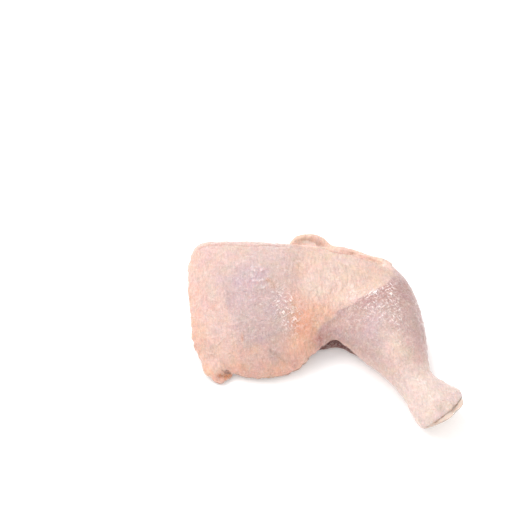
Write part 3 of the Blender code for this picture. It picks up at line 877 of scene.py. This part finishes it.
def tone_parts(points, normals, at, near):
    """How much of each part of the skin a point belongs to, by the names in TONE_ZONES.

    at and near are the points with their places in plan wavering, widely and narrowly.
    """
    upper = smooth(normals[:, 2], -0.2, 0.4)
    down = down_drumstick(at)
    drum = smooth(past_fat_edge(near[:, 0], near[:, 1]), -1.5, 2.0)
    mottle = smooth(noise(points, 5.0, 35), -0.5, 0.5)
    low = smooth(at[:, 2], 20.0, 9.0) * (1 - smooth(down, 12.0, 30.0))
    left = smooth(near[:, 0] + 0.27 * near[:, 1], -57.5, -54.0) * upper
    folds = smooth(noise(turned(points, FOLD_WAY), (9.0, 1.8, 9.0), 38), 0.0, 0.7)
    low_thigh = smooth(points[:, 2], 24.0, 14.0) * smooth(points[:, 0], -2.0, -14.0)
    return {
        "all": 1.0,
        "upper": upper,
        "mottle": mottle,
        "low sides": low * (1 - 0.5 * drum),
        "thigh meat": in_patch(near, (-36.5, -5.0), 31.0, 20.0, -76.0, 3.0) * left,
        "meat's left edge in painted shade": in_patch(near, (-54.5, 3.0), 4.0, 10.0, 14.0) * left,
        "hip end": smooth(at[:, 0], -64.0, -76.0) * mottle,
        "low thigh's folds": folds * low_thigh,
        "between the folds": (1 - folds) * low_thigh,
        "web": smooth(past_valley(at[:, 0], at[:, 1]), -0.6, 0.8) * (1 - drum),
        "off drumstick": 1 - drum,
        "less on drumstick": 1 - 0.6 * drum,
        "drumstick": drum,
        "drumstick meat": drum * smooth(down, 58.0, 34.0) * upper,
        "drumstick mottle": drum * mottle,
        "shank": smooth(down, 40.0, 60.0),
        "thin streak": in_patch(points, (-46.0, -24.0), 0.8, 2.6),
    }


def skin_tone(points, normals):
    """The skin's linear colour at each point: zones laid over one another, their edges wavering."""
    waver = np.stack([noise(points, 9.0, 31), noise(points, 9.0, 32)], axis=1)
    waver += 0.5 * np.stack([noise(points, 3.5, 33), noise(points, 3.5, 34)], axis=1)
    at, near = points.copy(), points.copy()
    at[:, :2] += WAVER * waver
    near[:, :2] += SHARP_WAVER * waver
    tone = np.tile(linear(PALE_PINK), (len(points), 1))

    def lay(colour, share):
        nonlocal tone
        share = np.clip(share, 0, 1)[:, None]
        tone = tone + (linear(colour) - tone) * share

    parts = tone_parts(points, normals, at, near)
    for colour, strength, part, *patch in TONE_ZONES:
        lay(colour, strength * parts[part] * (in_patch(at, *patch) if patch else 1))
    for path, half_width, colour, strength in TONE_LINES:
        lay(colour, strength * near_line(points, path, half_width))

    # the bruise on the knuckle, the rolled edge, and painted shade in the hollow beside the gap
    lay(BRUISE, 0.5 * in_patch(at, (69.0, -75.0), 2.0, 1.6) * parts["upper"])
    lay(ROLL_PEACH, 0.8 * np.exp(-((from_rope(points, ROLL_ROUTE, ROLL_RADII) / 1.2) ** 2)))
    lay(RED_HOLLOW_SHADE, 0.55 * in_patch(points, (1.5, -21.0), 4.5, 2.6, 50.0))

    # the raw meat in the gap and the web's underside over it, dark with painted shade; then painted
    # shade on the thigh's low undersides, and painted contact shade where the thigh meets the table
    gap = in_patch(points, (11.0, -17.0), 20.0, 12.0) * smooth(normals[:, 2], 0.15, -0.25)
    lay(SHADED_RAW_MEAT, gap * smooth(points[:, 2], 11.0, 8.5))
    on_meat = np.exp(-(from_rope(points, MEAT_ROUTE, MEAT_RADII) ** 4))
    lay(SHADED_RAW_MEAT, on_meat)
    lay(MEAT_IN_SHADE, on_meat * smooth(points[:, 2], 5.0, 2.0))
    low_edge_shade = smooth(normals[:, 2], -0.1, -0.5) * smooth(points[:, 2], 6.0, 2.5)
    lay(CUT_BROWN_AND_PAINTED_SHADE, 0.8 * low_edge_shade * smooth(points[:, 0], 4.0, -8.0))
    lay(SEAM_LINE_AND_CONTACT_SHADE, 0.4 * smooth(points[:, 2], 2.6, 0.8) * smooth(points[:, 0], 0.0, -10.0))

    # the cut face at the knuckle, with a dried brown rim
    edge = past_skin_end(points) + 0.25 * noise(points, 2.2, 36)
    lay(CUT_CREAM, smooth(edge, 0.2, 0.6))
    dashes = smooth(noise(points, 2.6, 37), -0.5, 0.1)
    lay(CUT_BROWN_AND_PAINTED_SHADE, 0.85 * np.exp(-(((edge - 0.1) / 0.45) ** 2)) * (0.4 + 0.6 * dashes))
    return tone


def add_attribute(mesh, name, values):
    """Keep one number or one colour a vertex in the mesh."""
    if values.ndim == 1:
        layer = mesh.attributes.new(name, "FLOAT", "POINT")
        layer.data.foreach_set("value", values.astype(np.float32))
    else:
        opaque = np.concatenate([values, np.ones((len(values), 1))], axis=1)
        layer = mesh.attributes.new(name, "FLOAT_COLOR", "POINT")
        layer.data.foreach_set("color", opaque.astype(np.float32).ravel())


def raise_surface(mesh, height_at, edges=None):
    """Move each vertex along its normal by what height_at says, and keep it above the table."""
    points = rows_of(mesh.vertices, "co", 3)
    if edges is not None:
        points = relaxed(points, edges, RELAX_ROUNDS)
        mesh.vertices.foreach_set("co", points.ravel())
        mesh.update()
    normals = rows_of(mesh.vertex_normals, "vector", 3)
    plan = points / MM + ORIGIN
    raised = plan + normals * height_at(plan, normals)[:, None]
    raised[:, 2] = np.maximum(raised[:, 2], 0.0)
    mesh.vertices.foreach_set("co", ((raised - ORIGIN) * MM).ravel())
    mesh.update()
    return raised, normals


# Where the drumstick gets the most painted glint flecks: along the fat skin's edge, down its slope
# and on its outer side, as a path, half width and strength
GLINT_FLECK_LINES = [
    ([(24.0, -1.0), (31.0, 3.0), (38.0, 5.0), (45.0, 9.0)], 3.6, 1.0),
    ([(46.0, 8.0), (48.0, -4.0), (49.0, -16.0)], 3.2, 1.2),
    ([(64.0, 6.0), (65.0, -3.0), (66.0, -12.0)], 2.6, 0.8),
]


def glint_fleck_zones(points):
    """Where painted glint flecks go, as if the wet skin caught the light: the thigh's middle and
    the drumstick.
    """
    drum = smooth(past_fat_edge(points[:, 0], points[:, 1]), -2.0, 1.0)
    on_drum = 0.6 * in_patch(points, (36.0, -8.0), 9.0, 11.0, 40.0)
    for path, half_width, strength in GLINT_FLECK_LINES:
        on_drum += strength * near_line(points, path, half_width)
    zones = 0.85 * in_patch(points, (-19.0, -7.0), 9.0, 15.0, 16.0, 1.5) + on_drum * drum
    zones += 0.3 * in_patch(points, (50.0, -24.0), 6.0, 8.0)
    return np.clip(zones * (1 - 0.2 * drum) + 0.05 + 0.12 * drum, 0, 1)


def make_skin():
    """The whole skin as one fused surface, with its tone and its share of painted glint flecks at
    every vertex.
    """
    grids = [
        leg_grid(),
        lip_grid(),
        rope_grid(ROLL_ROUTE, ROLL_RADII),
        rope_grid(FOLD_ROUTE, FOLD_RADII),
        rope_grid(MEAT_ROUTE, MEAT_RADII),
        finger_grid(FLAP_ROUTE, FLAP_WIDTH, FLAP_HEIGHT),
        finger_grid(TUCK_ROUTE, TUCK_WIDTH, TUCK_HEIGHT),
    ]
    piece = add_object("leg_skin", mesh_from("leg_skin", grids))
    mesh = fused(piece, SKIN_PITCH)
    edges = rows_of(mesh.edges, "vertices", 2, np.int32)
    plan, normals = raise_surface(mesh, skin_height, edges)
    add_attribute(mesh, "tone", skin_tone(plan, normals))
    # wet holds the share of painted glint flecks at each vertex
    add_attribute(mesh, "wet", glint_fleck_zones(plan))
    add_attribute(mesh, "ribbed", ribbed_zone(plan, normals))
    mesh.shade_smooth()
    return piece


def make_bone():
    """The shank bone with its gristle-capped joint end."""
    piece = add_object("shank_end", mesh_from("shank_end", [bone_grid()]))
    raise_surface(piece.data, bone_height)
    return piece


def feed(node, **inputs):
    """Link or set a node's inputs, by name with _ for a space, or by place as i0, i1 and so on."""
    for name, value in inputs.items():
        by_place = name[0] == "i" and name[1:].isdigit()
        socket = node.inputs[int(name[1:]) if by_place else name.replace("_", " ")]
        if isinstance(value, bpy.types.NodeSocket):
            node.id_data.links.new(value, socket)
        else:
            socket.default_value = value


def add_node(tree, kind, settings=None, **inputs):
    """Add a shader node with its settings and its inputs' links or values, for its outputs."""
    node = tree.nodes.new("ShaderNode" + kind)
    for name, value in (settings or {}).items():
        setattr(node, name, value)
    feed(node, **inputs)
    return node.outputs


def new_material(name):
    """A material, what adds a node to it, and its shader, which is all that it has at first."""
    material = bpy.data.materials.new(name)
    material.use_nodes = True
    tree = material.node_tree
    return material, partial(add_node, tree), tree.nodes["Principled BSDF"]


def rgba(hex_colour):
    """A colour socket's value from an sRGB hex colour."""
    return (*linear(hex_colour), 1.0)


# Settings that several nodes share
BLEND = {"data_type": "RGBA"}
MULTIPLY = {"data_type": "RGBA", "blend_type": "MULTIPLY"}
TIMES_PLUS = {"operation": "MULTIPLY_ADD"}
TIMES = {"operation": "MULTIPLY"}

# Sizes of the skin's patterns, in metres: patches of hue, lighter and darker spots, the grain, the
# hatching, the winding crinkles and how far they wind, the web's stripes of fat, and the follicles
PATCH_SIZE = 0.008
SPOT_SIZE = 0.003
GRAIN_SIZE = 0.0012
HATCHING_SIZE = (0.0009, 0.0036, 0.0020)
CRINKLE_SIZE = 0.0028
CRINKLE_WAY = 0.0024
STRIPE_SIZE = (0.0014, 0.010, 0.006)
FOLLICLE_GAP = 0.0036

# How much the patches and the spots change each of red, green and blue: the span and the least
PATCH_SPAN, PATCH_LEAST = (0.15, 0.20, 0.23), (0.925, 0.90, 0.885)
SPOT_SPAN, SPOT_LEAST = (0.26, 0.28, 0.29), (0.87, 0.86, 0.855)

# The painted highlight flecks are strokes that lie two ways: each way's turn and its strokes' size
STROKES = [(38.0, (0.0036, 0.0007, 0.003)), (-48.0, (0.0027, 0.0008, 0.003))]

CRINKLE_HIGHLIGHT_COLOUR = "#f3dfd6"
FOLLICLE_COLOUR = "#ecd4ca"
PAINTED_GLINT_COLOUR = "#fcf1ed"


def stretched_noise(node, place, turn, size):
    """Noise whose blobs are size metres long, turned in plan by so many degrees."""
    way = (0.0, 0.0, np.radians(turn))
    blob = node("Mapping", {"vector_type": "TEXTURE"}, Vector=place, Rotation=way, Scale=size)[0]
    return node("TexNoise", Vector=blob, Scale=1.0, Detail=2.0, Roughness=0.6)["Fac"]


def raw_skin():
    """Raw chicken skin, plucked and wet: thin, slightly see-through, finely wrinkled and glossy.

    The light soaks a few millimetres into it, so that it looks soft. White flecks painted into its
    colour stand for the lamps glinting on the water film over its wrinkles.
    """
    material, node, shader = new_material("plucked_raw_skin")
    place = node("TexCoord")["Object"]
    tone = node("Attribute", {"attribute_name": "tone"})["Color"]
    # wet says where the painted glint flecks go
    wet = node("Attribute", {"attribute_name": "wet"})["Fac"]
    ribbed = node("Attribute", {"attribute_name": "ribbed"})["Fac"]

    # Patches where lilac meat or yellow fat shows through more, and lighter and darker spots
    patches = node("TexNoise", Vector=place, Scale=1 / PATCH_SIZE, Detail=1.0, Roughness=0.5)
    tint = node("VectorMath", TIMES_PLUS, i0=patches["Color"], i1=PATCH_SPAN, i2=PATCH_LEAST)[0]
    patched = node("Mix", MULTIPLY, i0=1.0, i6=tone, i7=tint)[2]
    spots = node("TexNoise", Vector=place, Scale=1 / SPOT_SIZE, Detail=3.0, Roughness=0.6)
    shade = node("VectorMath", TIMES_PLUS, i0=spots["Fac"], i1=SPOT_SPAN, i2=SPOT_LEAST)[0]
    spotted = node("Mix", MULTIPLY, i0=1.0, i6=patched, i7=shade)[2]

    # Fine hatching across the leg: painted light and shade of the weave of the finest wrinkles,
    # drawn as coarse as it shows
    weave = stretched_noise(node, place, 8.0, HATCHING_SIZE)
    hatching = node(
        "MapRange", Value=weave, From_Min=0.3, From_Max=0.7, To_Min=0.885, To_Max=1.11
    )["Result"]
    hatched = node("Mix", MULTIPLY, i0=1.0, i6=spotted, i7=hatching)[2]

    # Crinkles: thin light lines that wind through the skin, painted highlights along their crests
    way = (CRINKLE_WAY,) * 3
    pushed = node("VectorMath", TIMES_PLUS, i0=spots["Color"], i1=way, i2=place)[0]
    winding = node("TexNoise", Vector=pushed, Scale=1 / CRINKLE_SIZE, Detail=1.5, Roughness=0.5)
    past_crest = node("Math", {"operation": "SUBTRACT"}, i0=winding["Fac"], i1=0.5)[0]
    off_crest = node("Math", {"operation": "ABSOLUTE"}, i0=past_crest)[0]
    lines = node("MapRange", Value=off_crest, From_Min=0.035, From_Max=0.0)["Result"]
    line_share = node("Math", TIMES, i0=lines, i1=0.3)[0]
    crinkle_lit = node("Mix", BLEND, i0=line_share, i6=hatched, i7=rgba(CRINKLE_HIGHLIGHT_COLOUR))[2]

    # Stripes of fat in the web, along the skin's ribs
    fat = stretched_noise(node, pushed, 4.0, STRIPE_SIZE)
    stripes = node(
        "MapRange", Value=fat, From_Min=0.35, From_Max=0.65, To_Min=0.93, To_Max=1.11
    )["Result"]
    striped = node("Mix", MULTIPLY, i0=ribbed, i6=crinkle_lit, i7=stripes)[2]

    # Pale dots where feathers were
    away = node("TexVoronoi", {"feature": "F1"}, Vector=place, Scale=1 / FOLLICLE_GAP)["Distance"]
    dots = node("MapRange", Value=away, From_Min=0.26, From_Max=0.1, To_Max=0.2)["Result"]
    dotted = node("Mix", BLEND, i0=dots, i6=striped, i7=rgba(FOLLICLE_COLOUR))[2]

    # Painted highlights: white flecks where the lamps would glint on the wet skin's water film
    one_way, other_way = [stretched_noise(node, pushed, *stroke) for stroke in STROKES]
    strokes = node("Math", {"operation": "MAXIMUM"}, i0=one_way, i1=other_way)[0]
    crests = node("MapRange", Value=strokes, From_Min=0.585, From_Max=0.65, To_Max=0.9)["Result"]
    flecks = node("Math", TIMES, i0=crests, i1=wet)[0]
    flecked = node("Mix", BLEND, i0=flecks, i6=dotted, i7=rgba(PAINTED_GLINT_COLOUR))[2]

    # The crinkles, the grain and the water film roughen the surface, and its gloss is uneven
    grain = node("TexNoise", Vector=place, Scale=1 / GRAIN_SIZE, Detail=3.0, Roughness=0.6)["Fac"]
    net = node("Bump", Height=lines, Strength=0.6, Distance=0.0004)[0]
    grained = node("Bump", Height=grain, Strength=0.5, Distance=0.0006, Normal=net)[0]
    film = node("Bump", Height=strokes, Strength=0.6, Distance=0.0012, Normal=grained)[0]
    rough = node(
        "MapRange", Value=patches["Fac"], From_Min=0.3, From_Max=0.7, To_Min=0.5, To_Max=0.34
    )["Result"]
    feed(shader, Base_Color=flecked, Normal=film, Roughness=rough, IOR=1.4)
    feed(shader, Subsurface_Weight=0.25, Subsurface_Radius=(1.0, 0.45, 0.3))
    feed(shader, Subsurface_Scale=0.0025, Coat_Weight=0.35, Coat_Roughness=0.16, Coat_IOR=1.33)
    return material


GRISTLE_CLOUD = 0.004
GRISTLE_PALE = "#dac8bb"
GRISTLE_DULL = "#c2a898"


def joint_gristle():
    """Joint gristle over bone, cut bare: smooth, milky cream and wet, a little see-through."""
    material, node, shader = new_material("wet_joint_gristle")
    place = node("TexCoord")["Object"]
    cloud = node("TexNoise", Vector=place, Scale=1 / GRISTLE_CLOUD, Detail=4.0, Roughness=0.6)
    milk = node("Mix", BLEND, i0=cloud["Fac"], i6=rgba(GRISTLE_PALE), i7=rgba(GRISTLE_DULL))[2]
    bump = node("Bump", Height=cloud["Fac"], Strength=0.3, Distance=0.0005)[0]
    feed(shader, Base_Color=milk, Normal=bump, Roughness=0.3, IOR=1.4)
    feed(shader, Subsurface_Weight=0.3, Subsurface_Radius=(1.0, 0.6, 0.4))
    feed(shader, Subsurface_Scale=0.003, Coat_Weight=0.4, Coat_Roughness=0.1)
    return material


def table_white():
    """Matt white laminate, evenly lit: it gives a plain pale ground and a soft contact shadow."""
    material, _, shader = new_material("matt_white_laminate")
    feed(shader, Base_Color=rgba("#f6f6f6"), Roughness=0.9, Specular_IOR_Level=0.2)
    feed(shader, Emission_Color=(1.0, 1.0, 1.0, 1.0), Emission_Strength=0.14)
    return material


# The camera stands in front, looks down by this many degrees, and frames the leg as photographed
CAMERA_ELEVATION = 50.0
CAMERA_DISTANCE = 0.76
CAMERA_AIM = Vector((-0.0396, 0.0349, 0.0458))
LENS = 85.0


def add_looking(name, data, place, aim):
    """A lamp or a camera at a place, turned to look at its aim."""
    thing = add_object(name, data)
    thing.location = place
    thing.rotation_mode = "QUATERNION"
    thing.rotation_quaternion = (aim - place).to_track_quat("-Z", "Y")
    return thing


def add_camera():
    """The camera, as the scene's own."""
    angle = np.radians(CAMERA_ELEVATION)
    back = Vector((0.0, -np.cos(angle), np.sin(angle)))
    data = bpy.data.cameras.new("camera")
    data.lens = LENS
    data.sensor_width = 36.0
    data.clip_start, data.clip_end = 0.01, 20.0
    place = CAMERA_AIM + back * CAMERA_DISTANCE
    bpy.context.scene.camera = add_looking("camera", data, place, CAMERA_AIM)


# Lamps, which all look at the origin: name, place in metres, width and depth, and watts
LAMPS = [
    ("softbox_back", (-0.35, 0.75, 1.15), 0.3, 0.25, 7.0),
    ("softbox_left", (-0.8, 0.2, 1.1), 0.7, 0.7, 6.5),
    ("softbox_front", (-0.3, -1.3, 1.0), 1.0, 0.8, 1.5),
]
SKY_STRENGTH = 1.04


def light_studio():
    """Softbox lamps and an even white sky."""
    for name, place, width, depth, watts in LAMPS:
        data = bpy.data.lights.new(name, "AREA")
        data.shape = "RECTANGLE"
        data.size, data.size_y = width, depth
        data.energy = watts
        add_looking(name, data, Vector(place), Vector())
    world = bpy.data.worlds.new("studio")
    bpy.context.scene.world = world
    world.use_nodes = True
    sky = world.node_tree.nodes["Background"]
    sky.inputs["Color"].default_value = (1.0, 1.0, 1.0, 1.0)
    sky.inputs["Strength"].default_value = SKY_STRENGTH
    bpy.context.scene.view_settings.view_transform = "Standard"


# The table's half side and how far it lies under the leg, in metres
TABLE_REACH = 3.0
TABLE_DROP = 0.0002
TABLE_CORNERS = [(-1, -1), (1, -1), (1, 1), (-1, 1)]


def add_table():
    """A square white table top, which is part of the stage."""
    corners = [(x * TABLE_REACH, y * TABLE_REACH, 0.0) for x, y in TABLE_CORNERS]
    mesh = bpy.data.meshes.new("table")
    mesh.from_pydata(corners, [], [(0, 1, 2, 3)])
    table = add_object("table", mesh)
    table.location.z = -TABLE_DROP
    mesh.materials.append(table_white())


skin = make_skin()
skin.data.materials.append(raw_skin())
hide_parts("leg")
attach(skin, "root")

bone = make_bone()
bone.data.materials.append(joint_gristle())
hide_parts("shank_bone")
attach(bone, "root")

add_table()
light_studio()
add_camera()
